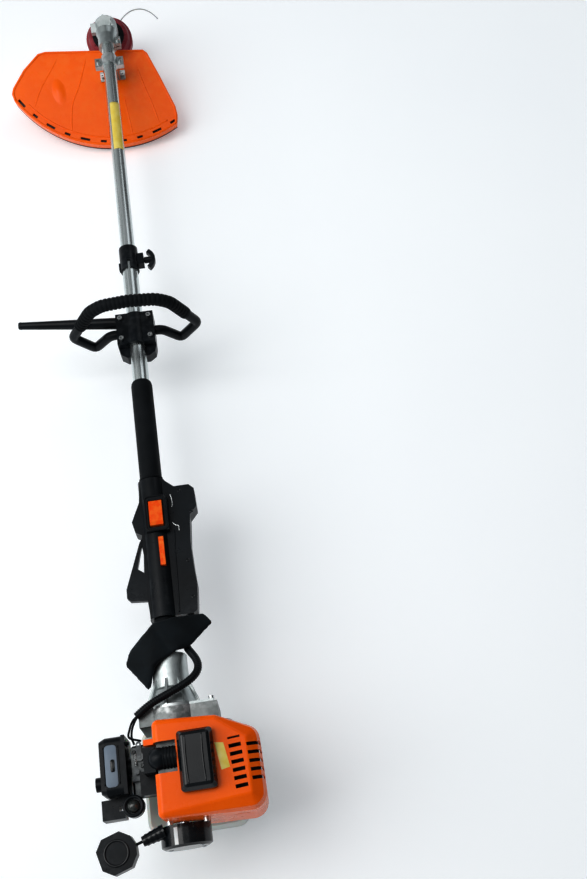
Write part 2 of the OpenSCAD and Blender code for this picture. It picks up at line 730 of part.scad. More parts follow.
module intake_boot() color(black) on_shaft() difference() {
    union() {
        translate([-20, -95, 84.5]) sphere(r = 15);
        translate([0, -95, 83.5]) along_x(-20) cylinder(r = 14.4, h = 24.4);
        block([-41, -112, 8], [-36.5, -78, 88]);
        block([-37, -112, 37.5], [-25, -78, 88]);
        block([-51, -136, 37.5], [-26.5, -104, 57.5]);
    }
    block([-24.5, -130, 20], [20, -60, 84.5]);
}

// ---------- carburettor and air filter ----------

carb_low = [-64, -112, 0];
carb_high = [-41, -66, 34];
module carburettor() color(metal) on_shaft() difference() {
    union() {
        block(carb_low, carb_high);
        translate([primer_at[0], primer_at[1], 19]) cylinder(r = 15, h = 13);
        block([-62, -132, 19], [-48, -111, 28]);
        translate([throttle_arm_at[0], throttle_arm_at[1], carb_high[2]]) cylinder(r = 5, h = 2);
        translate([-57, -100, carb_high[2]]) cylinder(r = 4, h = 5);
    }
    translate([primer_at[0], primer_at[1], 23]) cylinder(r = 9.4, h = 12);
    translate([throttle_arm_at[0], throttle_arm_at[1], 20]) cylinder(r = 2 + slack, h = 30);
}

module throttle_arm() color(steel) on_shaft() translate([throttle_arm_at[0], throttle_arm_at[1], 0]) {
    translate([0, 0, 24]) cylinder(r = 2, h = 15);
    translate([0, 0, carb_high[2] + 2.3]) linear_extrude(2) difference() {
        union() {
            circle(r = 6);
            polygon([[-4, 0], [4, 0], [3, 17], [-3, 17]]);
            translate([0, 17]) circle(r = 4);
        }
        translate([0, 17]) circle(r = 1.6);
    }
}

module primer_bulb() color(steel) on_shaft() translate([primer_at[0], primer_at[1], 27.5]) {
    cylinder(r = 9, h = 4);
    translate([0, 0, 4]) intersection() {
        sphere(r = 9);
        cylinder(r = 10, h = 10);
    }
}

module air_filter_base() color(black) on_shaft() difference() {
    union() {
        block([filter_x[1], -128, -18], [-70, -48, 48]);
        translate([0, -90, 16]) along_x(-70) cylinder(r = 13, h = 6);
        block([-112, -156, -12], [-88, -129, 18]);
        block([-112, -156, -12], [-80, -146, 18]);
        block([-88, -140, -12], [-70, -128, 18]);
    }
    translate([0, -90, 16]) along_x(-80) cylinder(r = 9, h = 20);
    translate([0, choke_at[0], choke_at[1] - 4]) along_x(-76) cylinder(r = 2.5 + slack, h = 8);
}

module filter_box(shrink) hull()
    for (y = [-118, -58])
        for (z = [-10, 38])
            translate([filter_x[0] + shrink, y, z]) {
                along_x(8 - shrink / 2)
                    cylinder(r = 10 - shrink, h = filter_x[1] - filter_x[0] - 8, $fn = 32);
                along_x(0) cylinder(r = 6 - shrink / 2, h = 4, $fn = 32);
            }

module air_filter_cover() color(black) on_shaft() difference() {
    intersection() {
        filter_box(0);
        block([filter_x[0], -130, -30], [filter_x[1], -40, 60]);
    }
    block([filter_x[0] + 3, -124, -15], [filter_x[1] + 1, -54, 43]);
    translate([0, -106, 14]) along_x(-112) cylinder(r = 3 + slack, h = 10);
}

module filter_knob() color(black) on_shaft() translate([0, -106, 14]) {
    along_x(-118) cylinder(r = 10, h = 10.6);
    along_x(-108) cylinder(r = 3, h = 20);
}

module choke_lever() color(black) on_shaft() translate([0, choke_at[0], choke_at[1] - 4]) {
    along_x(-74) cylinder(r = 2.5, h = 9.5);
    rotate([0, 90, 0]) translate([0, 0, -69.5]) linear_extrude(3)
        polygon([[4, -4], [4, 4], [-14, 3], [-18, 0], [-14, -3]]);
}

// ---------- recoil starter ----------

module along_rope(from) translate(from) rotate([0, 90, atan2(rope_dir[1], rope_dir[0])]) children();

module starter_housing() color(black) on_shaft() difference() {
    union() {
        along_y(starter_y[0]) rotate_extrude() polygon([
            [0, 0], [starter_r - 5, 0], [starter_r, 3], [starter_r, 29.5], [0, 29.5]
        ]);
        along_rope([-28, -181.5, 21]) cylinder(r1 = 10, r2 = 7, h = 32);
        for (i = [0 : 3])
            along_rope([-31, -182.4, 21] + i * 7 * rope_dir) cylinder(r = 10 - i * 0.6, h = 3);
    }
    along_y(starter_y[0] + 4) ring(starter_r - cover_wall, 6, 40);
    along_y(-179) cylinder(r = 10, h = 10);
    along_rope([-10, -175.8, 21]) cylinder(r = 2.6, h = 70);
}

module starter_pulley() color(black) on_shaft() difference() {
    along_y(-194) rotate_extrude() polygon([
        [6 + slack, 0], [27, 0], [27, 2], [20, 3], [20, 9], [27, 10], [27, 12], [6 + slack, 12]
    ]);
    for (a = [0 : 60 : 300])
        rotate([0, a, 0]) translate([13.5, 0, 0]) along_y(-198) cylinder(r = 3, h = 20);
}

grip_outline = [
    [-25, -13], [-13, -25], [13, -25], [25, -13], [28, 0], [25, 13], [13, 25], [-13, 25], [-25, 13]
];

module starter_handle() color(black) on_shaft() {
    translate(grip_centre) linear_extrude(24, center = true) rotate(17) polygon(grip_outline);
    along_rope(rope_start) cylinder(r = 2, h = 48);
}

// ---------- fuel tank ----------

tank_corner_r = 18;
module tank_form(shrink) hull()
    for (x = [tank_x[0] + tank_corner_r, tank_x[1] - tank_corner_r])
        for (y = [tank_y[0] + tank_corner_r, tank_y[1] - tank_corner_r])
            translate([x, y, -axis_h + shrink]) tank_corner(shrink, tank_z + axis_h - 2 * shrink);

// One rounded corner of the tank, as high as the tank
module tank_corner(shrink, high) {
    cylinder(r = tank_corner_r - 3 - shrink, h = 1, $fn = 32);
    translate([0, 0, 3]) cylinder(r = tank_corner_r - shrink, h = high - 10, $fn = 32);
    cylinder(r = tank_corner_r - 5 - shrink, h = high, $fn = 32);
}

module fuel_tank() color(milk_white) on_shaft() difference() {
    union() {
        tank_form(0);
        translate([0, cap_y, cap_z]) along_x(tank_x[0] - 8) cylinder(r = 15, h = 12);
    }
    tank_form(cover_wall);
    translate([0, cap_y, cap_z]) along_x(tank_x[0] - 9) cylinder(r = 12, h = 20);
}

module fuel_cap() color(black) on_shaft() translate([0, cap_y, cap_z]) {
    difference() {
        along_x(tank_x[0] - 18) cylinder(r = 19, h = 17);
        along_x(tank_x[0] - 14) ring(17, 11.5, 14);
        along_x(tank_x[0] - 12) cylinder(r = 9, h = 14);
        for (a = [0 : 20 : 340])
            rotate([a, 0, 0]) translate([0, 20, 0]) along_x(tank_x[0] - 19) cylinder(r = 2, h = 20);
    }
}

gear_case();
gear_bearings();
bevel_pinion();
bevel_gear();
output_shaft();
head_housing();
head_cover();
spool();
bump_knob();
head_spring();
cutting_line();
guard();
guard_skirt();
line_cutter();
guard_bracket();
cap_screws();
front_tube();
rear_tube();
drive_shaft();
shaft_bushes();
coupler_body();
coupler_knob();
loop_handle();
loop_grip();
bracket_cap();
bracket_base();
barrier_bar();
front_grip();
handle_shell_top();
handle_shell_bottom();
throttle_trigger();
lockout_lever();
stop_switch();
hip_pad();
throttle_conduit();
clutch_case();
clutch_drum();
clutch_shoes();
crankcase();
flywheel();
crankshaft();
cylinder_barrel();
piston();
spark_plug();
plug_cover();
shroud();
muffler();
intake_boot();
carburettor();
throttle_arm();
primer_bulb();
air_filter_base();
air_filter_cover();
filter_knob();
choke_lever();
starter_housing();
starter_pulley();
starter_handle();
fuel_tank();
fuel_cap();
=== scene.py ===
# Looks for the string trimmer: camera, light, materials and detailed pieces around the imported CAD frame

import json
import math

import bmesh
import bpy
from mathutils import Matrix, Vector


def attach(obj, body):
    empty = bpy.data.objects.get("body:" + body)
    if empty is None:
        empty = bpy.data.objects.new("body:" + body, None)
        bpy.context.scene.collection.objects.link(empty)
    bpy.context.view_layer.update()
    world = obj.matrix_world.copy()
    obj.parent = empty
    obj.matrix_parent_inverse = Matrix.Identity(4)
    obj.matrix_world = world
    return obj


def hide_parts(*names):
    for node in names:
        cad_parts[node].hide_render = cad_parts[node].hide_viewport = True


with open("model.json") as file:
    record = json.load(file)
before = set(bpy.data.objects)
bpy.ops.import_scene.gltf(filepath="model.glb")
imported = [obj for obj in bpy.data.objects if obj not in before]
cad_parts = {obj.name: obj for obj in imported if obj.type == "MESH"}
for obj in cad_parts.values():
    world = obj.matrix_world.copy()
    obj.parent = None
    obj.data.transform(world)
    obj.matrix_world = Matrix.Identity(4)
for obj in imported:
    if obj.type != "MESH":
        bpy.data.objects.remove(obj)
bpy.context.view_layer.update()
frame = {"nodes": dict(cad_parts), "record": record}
NODES = frame["nodes"]
MM = 0.001

# Brightness of the floor's own glow, of the room and its lamps, and of the finished picture
FLOOR_GLOW = 0.22
WORLD_STRENGTH, KEY_WATTS, FILL_WATTS, TOP_WATTS = 0.42, 60, 9, 14
EXPOSURE_STOPS = 0.25
DISPLAY_GAMMA = 0.78
# Side of the square floor and its depth under the object (m), then the camera's lens and sensor
FLOOR_SIZE = 9.0
FLOOR_DROP = 0.0005
LENS_MM = 40.96
SENSOR_MM = 36.0

# Offset from the shaft frame (mm, origin on the shaft axis beside the clutch) to the row frame (m)
SHAFT_ORIGIN = Vector((0.0455, -0.633, 0.140))


def at(x, y, z):
    """A point given in shaft millimetres, in the row frame."""
    return SHAFT_ORIGIN + Vector((x, y, z)) * MM


HEAD_TILT = math.radians(25)
GEAR_Y = 1418
HEAD_POINT = at(0, GEAR_Y, 0)
HEAD_AXIS = (0.0, -math.sin(HEAD_TILT), math.cos(HEAD_TILT))


# ---------- camera, light and floor ----------

def make_camera():
    camera = bpy.data.objects.new("camera", bpy.data.cameras.new("camera"))
    bpy.context.scene.collection.objects.link(camera)
    camera.location = at(129, -335, 1502)
    aim = at(242.5, 399, 0) - camera.location
    camera.rotation_euler = aim.to_track_quat("-Z", "Y").to_euler()
    camera.data.sensor_fit = "VERTICAL"
    camera.data.sensor_height = SENSOR_MM
    camera.data.lens = LENS_MM
    camera.data.clip_start = 0.05
    bpy.context.scene.camera = camera


def area_light(name, place, target, size, watts, colour=(1.0, 1.0, 1.0)):
    data = bpy.data.lights.new(name, "AREA")
    data.shape = "RECTANGLE"
    data.size, data.size_y = size
    data.energy = watts
    data.color = colour
    light = bpy.data.objects.new(name, data)
    bpy.context.scene.collection.objects.link(light)
    light.location = place
    light.rotation_euler = (Vector(target) - Vector(place)).to_track_quat("-Z", "Y").to_euler()


def make_studio():
    """A bright room on the left and a darker one on the right, with large soft lights above."""
    view = bpy.context.scene.view_settings
    view.view_transform = "Standard"
    view.exposure = EXPOSURE_STOPS
    view.gamma = DISPLAY_GAMMA
    world = bpy.data.worlds.new("studio")
    bpy.context.scene.world = world
    world.use_nodes = True
    tree = world.node_tree
    background = tree.nodes["Background"]
    place = tree.nodes.new("ShaderNodeTexCoord")
    split = tree.nodes.new("ShaderNodeSeparateXYZ")
    ramp = tree.nodes.new("ShaderNodeValToRGB")
    shift = tree.nodes.new("ShaderNodeMapRange")
    tree.links.new(place.outputs["Generated"], split.inputs[0])
    tree.links.new(split.outputs["X"], shift.inputs["Value"])
    shift.inputs["From Min"].default_value = -1.0
    tree.links.new(shift.outputs["Result"], ramp.inputs["Fac"])
    ramp.color_ramp.elements[0].color = (0.95, 0.98, 1.0, 1.0)
    ramp.color_ramp.elements[0].position = 0.30
    ramp.color_ramp.elements[1].color = (0.22, 0.23, 0.24, 1.0)
    ramp.color_ramp.elements[1].position = 0.62
    tree.links.new(ramp.outputs["Color"], background.inputs["Color"])
    background.inputs["Strength"].default_value = WORLD_STRENGTH
    area_light("key", (-2.1, -0.4, 2.6), (0.1, 0.0, 0.0), (2.2, 3.4), KEY_WATTS, (1.0, 0.985, 0.965))
    area_light("fill", (1.6, 1.6, 2.4), (0.1, 0.2, 0.0), (2.0, 1.4), FILL_WATTS, (0.94, 0.97, 1.0))
    area_light("top", (-0.4, 0.1, 3.0), (0.1, 0.1, 0.0), (1.2, 2.6), TOP_WATTS)


def make_floor():
    bpy.ops.mesh.primitive_grid_add(x_subdivisions=2, y_subdivisions=2, size=FLOOR_SIZE,
                                    location=(0.0, 0.0, -FLOOR_DROP))
    floor = bpy.context.object
    floor.name = "floor"
    surface = Surface("floor_paint")
    surface.base((0.86, 0.885, 0.90), (0.84, 0.865, 0.885), scale=1.2)
    surface.roughness(0.75, 0.85, scale=30)
    surface.put(Emission_Strength=FLOOR_GLOW)
    surface.shader.inputs["Emission Color"].default_value = (0.93, 0.965, 1.0, 1.0)
    floor.data.materials.append(surface.material)


# ---------- materials ----------

class Surface:
    """A procedural material on one Principled shader, in object coordinates, built up by small steps."""

    def __init__(self, name):
        self.material = bpy.data.materials.new(name)
        self.material.use_nodes = True
        tree = self.material.node_tree
        self.nodes = tree.nodes
        self.links = tree.links
        self.shader = self.nodes["Principled BSDF"]
        self.place = self.nodes.new("ShaderNodeTexCoord")
        self.height = None

    def put(self, **values):
        for name, value in values.items():
            self.shader.inputs[name.replace("_", " ")].default_value = value
        return self

    def stretched(self, stretch):
        if stretch is None:
            return self.place.outputs["Object"]
        mapping = self.nodes.new("ShaderNodeMapping")
        mapping.inputs["Scale"].default_value = stretch
        self.links.new(self.place.outputs["Object"], mapping.inputs["Vector"])
        return mapping.outputs["Vector"]

    def noise(self, scale, detail=4.0, stretch=None, rough=0.55):
        node = self.nodes.new("ShaderNodeTexNoise")
        node.inputs["Scale"].default_value = scale
        node.inputs["Detail"].default_value = detail
        node.inputs["Roughness"].default_value = rough
        self.links.new(self.stretched(stretch), node.inputs["Vector"])
        return node.outputs["Fac"]

    def cells(self, scale):
        node = self.nodes.new("ShaderNodeTexVoronoi")
        node.inputs["Scale"].default_value = scale
        self.links.new(self.stretched(None), node.inputs["Vector"])
        return node.outputs["Distance"]

    def span(self, value, low_in, high_in, low_out, high_out):
        node = self.nodes.new("ShaderNodeMapRange")
        limits = {"From Min": low_in, "From Max": high_in, "To Min": low_out, "To Max": high_out}
        for name, number in limits.items():
            node.inputs[name].default_value = number
        self.links.new(value, node.inputs["Value"])
        return node.outputs["Result"]

    def mix(self, factor, first, second):
        node = self.nodes.new("ShaderNodeMix")
        node.data_type = "RGBA"
        self.links.new(factor, node.inputs["Factor"])
        for socket, colour in ((node.inputs[6], first), (node.inputs[7], second)):
            if isinstance(colour, tuple):
                socket.default_value = (*colour, 1.0)
            else:
                self.links.new(colour, socket)
        return node.outputs[2]

    def base(self, first, second, scale=12.0, detail=3.0, stretch=None, low=0.35, high=0.65):
        factor = self.span(self.noise(scale, detail, stretch), low, high, 0.0, 1.0)
        self.colour = self.mix(factor, first, second)
        self.links.new(self.colour, self.shader.inputs["Base Color"])
        return self

    def worn_edges(self, colour, low=0.56, high=0.72, patch=90.0):
        """Rubbed corners: the pointed parts of the mesh, broken up by noise."""
        geometry = self.nodes.new("ShaderNodeNewGeometry")
        edge = self.span(geometry.outputs["Pointiness"], low, high, 0.0, 1.0)
        broken = self.span(self.noise(patch), 0.45, 0.62, 0.0, 0.9)
        both = self.nodes.new("ShaderNodeMath")
        both.operation = "MULTIPLY"
        self.links.new(edge, both.inputs[0])
        self.links.new(broken, both.inputs[1])
        self.colour = self.mix(both.outputs[0], self.colour, colour)
        self.links.new(self.colour, self.shader.inputs["Base Color"])
        return self

    def roughness(self, low, high, scale=60.0, stretch=None):
        value = self.span(self.noise(scale, 5.0, stretch), 0.3, 0.7, low, high)
        self.links.new(value, self.shader.inputs["Roughness"])
        return self

    def bump(self, value, strength, depth_mm):
        node = self.nodes.new("ShaderNodeBump")
        node.inputs["Strength"].default_value = strength
        node.inputs["Distance"].default_value = depth_mm * MM
        self.links.new(value, node.inputs["Height"])
        if self.height is not None:
            self.links.new(self.height, node.inputs["Normal"])
        self.height = node.outputs["Normal"]
        self.links.new(self.height, self.shader.inputs["Normal"])
        return self


def moulded(name, dark, light, rough, grain_mm=0.7, grain=0.22, wear=(0.035, 0.04, 0.045),
            specular=0.12):
    """Moulded plastic: fine pebble grain, slow tone changes and rubbed edges."""
    s = Surface(name)
    s.base(dark, light, scale=14.0)
    s.worn_edges(wear)
    s.put(Specular_IOR_Level=specular)
    s.roughness(*rough, scale=45.0)
    s.bump(s.cells(1000.0 / grain_mm), grain, 0.12)
    s.bump(s.noise(60.0, 3.0), 0.15, 0.4)
    return s


def cast_metal(name, dark, light, rough, grit=0.3):
    s = Surface(name)
    s.base(dark, light, scale=30.0, detail=6.0)
    s.put(Metallic=0.9)
    s.worn_edges((0.85, 0.87, 0.88), low=0.55)
    s.roughness(*rough, scale=160.0)
    s.bump(s.noise(900.0, 3.0), grit, 0.2)
    s.bump(s.noise(220.0, 2.0), 0.2, 0.3)
    return s


def drawn_metal(name, dark, light, rough, stretch):
    """Drawn or turned metal: fine lines along one direction."""
    s = Surface(name)
    s.base(dark, light, scale=1.0, detail=8.0, stretch=stretch)
    s.put(Metallic=1.0)
    s.roughness(*rough, scale=1.0, stretch=stretch)
    s.bump(s.noise(1.0, 6.0, stretch), 0.1, 0.05)
    return s


def make_orange(name, deep, bright, coat, rough):
    s = Surface(name)
    s.base(deep, bright, scale=9.0, detail=5.0)
    s.worn_edges((0.98, 0.24, 0.03))
    s.put(Coat_Weight=coat, Coat_Roughness=0.16, Specular_IOR_Level=0.14)
    s.roughness(*rough, scale=35.0)
    s.bump(s.noise(420.0, 2.0), 0.05, 0.1)
    s.bump(s.noise(26.0, 2.0), 0.10, 0.6)
    scratches = s.span(s.noise(1.0, 9.0, (40.0, 900.0, 90.0)), 0.66, 0.72, 0.0, 1.0)
    s.bump(scratches, 0.05, 0.05)
    return s


def make_sticker(name, first, second):
    """A blank printed label: faint ink patches and a slightly wrinkled film."""
    s = Surface(name)
    s.base(first, second, scale=70.0, detail=2.0)
    s.put(Coat_Weight=0.3, Coat_Roughness=0.2)
    s.roughness(0.35, 0.5)
    s.bump(s.noise(240.0, 2.0), 0.12, 0.1)
    return s


MAROON_DARK, MAROON_LIGHT = (0.20, 0.022, 0.035), (0.33, 0.07, 0.085)
RUBBER_DARK, RUBBER_LIGHT = (0.006, 0.008, 0.010), (0.012, 0.015, 0.018)
# Radius (m) about the head's axis at which its top turns from black to maroon, and the width of the change
MAROON_FROM, MAROON_BLEND = 0.0330, 0.0006


def make_head_plastic():
    """The line head's top: black in the middle and maroon further out."""
    s = moulded("head_plastic", RUBBER_DARK, RUBBER_LIGHT, (0.3, 0.45))
    away = s.nodes.new("ShaderNodeVectorMath")
    away.operation = "SUBTRACT"
    s.links.new(s.place.outputs["Object"], away.inputs[0])
    away.inputs[1].default_value = HEAD_POINT
    across = s.nodes.new("ShaderNodeVectorMath")
    across.operation = "CROSS_PRODUCT"
    s.links.new(away.outputs[0], across.inputs[0])
    across.inputs[1].default_value = HEAD_AXIS
    length = s.nodes.new("ShaderNodeVectorMath")
    length.operation = "LENGTH"
    s.links.new(across.outputs[0], length.inputs[0])
    outer = s.span(length.outputs["Value"], MAROON_FROM, MAROON_FROM + MAROON_BLEND, 0.0, 1.0)
    maroon = s.mix(s.span(s.noise(40.0), 0.35, 0.65, 0.0, 1.0), MAROON_DARK, MAROON_LIGHT)
    s.links.new(s.mix(outer, s.colour, maroon), s.shader.inputs["Base Color"])
    return s


def make_materials():
    kit = {
        "orange_gloss": make_orange("orange_gloss", (0.93, 0.135, 0.0015), (1.0, 0.165, 0.002),
                                    0.12, (0.22, 0.34)),
        "orange_control": make_orange("orange_control", (0.86, 0.07, 0.003), (0.94, 0.105, 0.006),
                                      0.05, (0.4, 0.55)),
        "black_plastic": moulded("black_plastic", (0.0045, 0.0065, 0.0085), (0.009, 0.013, 0.017),
                                 (0.26, 0.38), specular=0.2),
        "black_gloss": moulded("black_gloss", (0.004, 0.006, 0.008), (0.007, 0.010, 0.013),
                               (0.10, 0.2), 1.6, 0.05, specular=0.4),
        "black_rubber": moulded("black_rubber", RUBBER_DARK, RUBBER_LIGHT, (0.5, 0.7), 0.5, 0.35,
                                specular=0.12),
        "maroon_plastic": moulded("maroon_plastic", MAROON_DARK, MAROON_LIGHT, (0.3, 0.42),
                                  wear=(0.5, 0.3, 0.3)),
        "head_plastic": make_head_plastic(),
        "filter_grey": moulded("filter_grey", (0.20, 0.25, 0.31), (0.30, 0.36, 0.42), (0.38, 0.5),
                               wear=(0.3, 0.34, 0.36)),
        "cast_aluminium": cast_metal("cast_aluminium", (0.36, 0.40, 0.40), (0.54, 0.58, 0.58), (0.30, 0.46)),
        "cast_grey": cast_metal("cast_grey", (0.17, 0.19, 0.19), (0.30, 0.32, 0.32), (0.42, 0.6)),
        "carb_metal": cast_metal("carb_metal", (0.05, 0.055, 0.06), (0.17, 0.18, 0.18), (0.35, 0.55)),
        "tube_aluminium": drawn_metal("tube_aluminium", (0.54, 0.58, 0.58), (0.70, 0.75, 0.75), (0.2, 0.32),
                                      (500.0, 7.0, 500.0)),
        "bright_steel": drawn_metal("bright_steel", (0.42, 0.44, 0.46), (0.66, 0.68, 0.70), (0.2, 0.36),
                                    (300.0, 300.0, 300.0)),
        "spring_steel": drawn_metal("spring_steel", (0.48, 0.50, 0.50), (0.70, 0.72, 0.72), (0.2, 0.34),
                                    (400.0, 400.0, 400.0)),
        "bush_plastic": moulded("bush_plastic", (0.03, 0.03, 0.035), (0.06, 0.06, 0.065), (0.4, 0.6)),
        "sticker_yellow": make_sticker("sticker_yellow", (0.80, 0.62, 0.09), (0.86, 0.72, 0.20)),
        "sticker_white": make_sticker("sticker_white", (0.62, 0.68, 0.70), (0.78, 0.82, 0.82)),
    }
    bulb = Surface("primer_clear")
    bulb.base((0.02, 0.025, 0.025), (0.07, 0.08, 0.075), scale=60.0)
    bulb.put(Transmission_Weight=0.15, IOR=1.45, Coat_Weight=0.6)
    bulb.roughness(0.12, 0.25)
    kit["primer_clear"] = bulb
    tank = Surface("tank_white")
    tank.base((0.66, 0.68, 0.62), (0.76, 0.77, 0.72), scale=9.0)
    tank.put(Subsurface_Weight=0.35, Subsurface_Scale=0.01, Transmission_Weight=0.15)
    tank.roughness(0.35, 0.5)
    tank.bump(tank.noise(180.0, 3.0), 0.2, 0.2)
    kit["tank_white"] = tank
    ceramic = Surface("white_ceramic")
    ceramic.base((0.70, 0.70, 0.68), (0.80, 0.80, 0.78), scale=50.0)
    ceramic.roughness(0.12, 0.25)
    kit["white_ceramic"] = ceramic
    nylon = Surface("nylon_line")
    nylon.base((0.36, 0.38, 0.38), (0.50, 0.52, 0.52), scale=120.0)
    nylon.put(Subsurface_Weight=0.3, Subsurface_Scale=0.002)
    nylon.roughness(0.25, 0.4)
    nylon.bump(nylon.noise(1500.0, 3.0), 0.2, 0.05)
    kit["nylon_line"] = nylon
    pad = Surface("pad_fabric")
    pad.base((0.0035, 0.006, 0.008), (0.009, 0.014, 0.018), scale=30.0)
    pad.put(Sheen_Weight=0.06, Sheen_Roughness=0.5, Specular_IOR_Level=0.12)
    pad.roughness(0.55, 0.75)
    pad.bump(pad.cells(1300.0), 0.4, 0.2)
    pad.bump(pad.noise(45.0, 3.0), 0.25, 1.0)
    kit["pad_fabric"] = pad
    return {name: surface.material for name, surface in kit.items()}


# CAD nodes that wear another surface than their slot's own
NODE_SURFACES = {
    "head_housing": "head_plastic", "carburettor": "carb_metal", "throttle_arm": "carb_metal",
    "cylinder_barrel": "carb_metal", "primer_bulb": "primer_clear",
}


def dress_nodes(materials):
    slots = {row["node"]: row["material_slot"] for row in frame["record"]["subparts"]}
    for name, node in NODES.items():
        node.data.materials.clear()
        node.data.materials.append(materials[NODE_SURFACES.get(name, slots[name])])


# ---------- mesh helpers ----------

def on_head(x, y, z):
    """A point given in the cutting head's own frame (mm, z up its shaft), in the row frame."""
    c, s = math.cos(HEAD_TILT), math.sin(HEAD_TILT)
    return at(x, GEAR_Y + c * y - s * z, s * y + c * z)


def finish_piece(name, mesh, material, body="root", smooth=True):
    piece = bpy.data.objects.new(name, mesh)
    bpy.context.scene.collection.objects.link(piece)
    mesh.materials.append(MATERIALS[material])
    for polygon in mesh.polygons:
        polygon.use_smooth = smooth
    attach(piece, body)
    return piece


def from_bmesh(name, build, material, body="root", smooth=True):
    bmesh.ops.recalc_face_normals(build, faces=build.faces)
    mesh = bpy.data.meshes.new(name)
    build.to_mesh(mesh)
    build.free()
    return finish_piece(name, mesh, material, body, smooth)


def smooth_path(points, step_mm):
    """Points along a centripetal curve through the given ones, about step_mm apart."""
    points = [Vector(p) for p in points]
    ends = [2 * points[0] - points[1], *points, 2 * points[-1] - points[-2]]
    fine = []
    for a, b, c, d in zip(ends, ends[1:], ends[2:], ends[3:]):
        for k in range(12):
            t = k / 12
            fine.append(0.5 * (2 * b + (c - a) * t + (2 * a - 5 * b + 4 * c - d) * t * t
                               + (3 * b - a - 3 * c + d) * t ** 3))
    fine.append(points[-1])
    return resample(fine, step_mm)


def resample(line, step_mm):
    lengths = [0.0]
    for p, q in zip(line, line[1:]):
        lengths.append(lengths[-1] + (q - p).length)
    count = max(2, round(lengths[-1] / (step_mm * MM)))
    out, i = [], 0
    for k in range(count + 1):
        want = lengths[-1] * k / count
        while i < len(line) - 2 and lengths[i + 1] < want:
            i += 1
        span = max(lengths[i + 1] - lengths[i], 1e-9)
        out.append(line[i].lerp(line[i + 1], (want - lengths[i]) / span))
    return out


def close_rings(build, rings):
    """Walls between rings of the same number of points, and a face over each end."""
    sides = len(rings[0])
    for first, second in zip(rings, rings[1:]):
        for k in range(sides):
            after = (k + 1) % sides
            build.faces.new((first[k], first[after], second[after], second[k]))
    build.faces.new(rings[0])
    build.faces.new(rings[-1])


def sweep(name, line, radius, sides, material, body="root", up=(0, 0, 1), flat=1.0):
    """A tube along a line of points; radius(i) in mm, flat squashes it across its up side."""
    build = bmesh.new()
    rings = []
    for i, point in enumerate(line):
        ahead = (line[min(i + 1, len(line) - 1)] - line[max(i - 1, 0)]).normalized()
        side = ahead.cross(Vector(up)).normalized()
        over = side.cross(ahead)
        r = radius(i) * MM
        rings.append([
            build.verts.new(point + side * r * math.cos(a) + over * r * flat * math.sin(a))
            for a in (2 * math.pi * k / sides for k in range(sides))
        ])
    close_rings(build, rings)
    return from_bmesh(name, build, material, body)


def slab(name, outline, low, high, material, body="root", place=at, round_mm=0.6, steps=2, smooth=True):
    """A plate over an outline (mm) from low to high, with rounded edges."""
    build = bmesh.new()
    bottom = [build.verts.new(place(x, y, low)) for x, y in outline]
    top = [build.verts.new(place(x, y, high)) for x, y in outline]
    n = len(outline)
    build.faces.new(bottom)
    build.faces.new(top)
    for k in range(n):
        build.faces.new((bottom[k], bottom[(k + 1) % n], top[(k + 1) % n], top[k]))
    rims = [e for e in build.edges if (e.verts[0] in top) == (e.verts[1] in top)]
    bmesh.ops.bevel(build, geom=rims, offset=round_mm * MM, segments=steps, profile=0.6,
                    affect="EDGES", clamp_overlap=True)
    return from_bmesh(name, build, material, body, smooth)


def rounded_outline(x0, x1, y0, y1, r, steps=5):
    centres = [(x1 - r, y1 - r, 0), (x0 + r, y1 - r, 90), (x0 + r, y0 + r, 180), (x1 - r, y0 + r, 270)]
    outline = []
    for cx, cy, start in centres:
        for k in range(steps + 1):
            angle = math.radians(start + 90 * k / steps)
            outline.append((cx + r * math.cos(angle), cy + r * math.sin(angle)))
    return outline


def lathe(name, profile, origin, axis, material, body="root", sides=48):
    """A turned piece: profile is (distance along the axis, radius) in mm, from a row-frame origin."""
    axis = Vector(axis).normalized()
    side = axis.orthogonal().normalized()
    over = axis.cross(side)
    build = bmesh.new()
    rings = []
    for along, r in profile:
        centre = Vector(origin) + axis * along * MM
        rings.append([
            build.verts.new(centre + (side * math.cos(a) + over * math.sin(a)) * max(r, 0.01) * MM)
            for a in (2 * math.pi * k / sides for k in range(sides))
        ])
    close_rings(build, rings)
    return from_bmesh(name, build, material, body)


def soften(node, width_mm, steps=2, angle=32):
    """Breaks the sharp edges of a CAD node with a bevel modifier."""
    bevel = NODES[node].modifiers.new("edges", "BEVEL")
    bevel.width = width_mm * MM
    bevel.segments = steps
    bevel.limit_method = "ANGLE"
    bevel.angle_limit = math.radians(angle)
    bevel.use_clamp_overlap = True


# ---------- cutting line ----------

# The cutting line's route in the head's frame, from where it leaves the eyelet
LINE_ROUTE = [(28.4, 40.8), (33, 46), (42, 54), (53, 60), (65, 63), (78, 62), (90, 57), (101, 48),
              (110, 37)]
LINE_Z = -72
LINE_D = 2.4


def make_cutting_line():
    curve = bpy.data.curves.new("line_strand", "CURVE")
    curve.dimensions = "3D"
    curve.bevel_depth = LINE_D / 2 * MM
    curve.bevel_resolution = 4
    curve.use_fill_caps = True
    points = smooth_path([on_head(x, y, LINE_Z) for x, y in LINE_ROUTE], 4.0)
    spline = curve.splines.new("POLY")
    spline.points.add(len(points) - 1)
    for target, point in zip(spline.points, points):
        target.co = (*point, 1.0)
    strand = bpy.data.objects.new("line_strand", curve)
    bpy.context.scene.collection.objects.link(strand)
    curve.materials.append(MATERIALS["nylon_line"])
    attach(strand, "cutting_head")
    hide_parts("cutting_line")


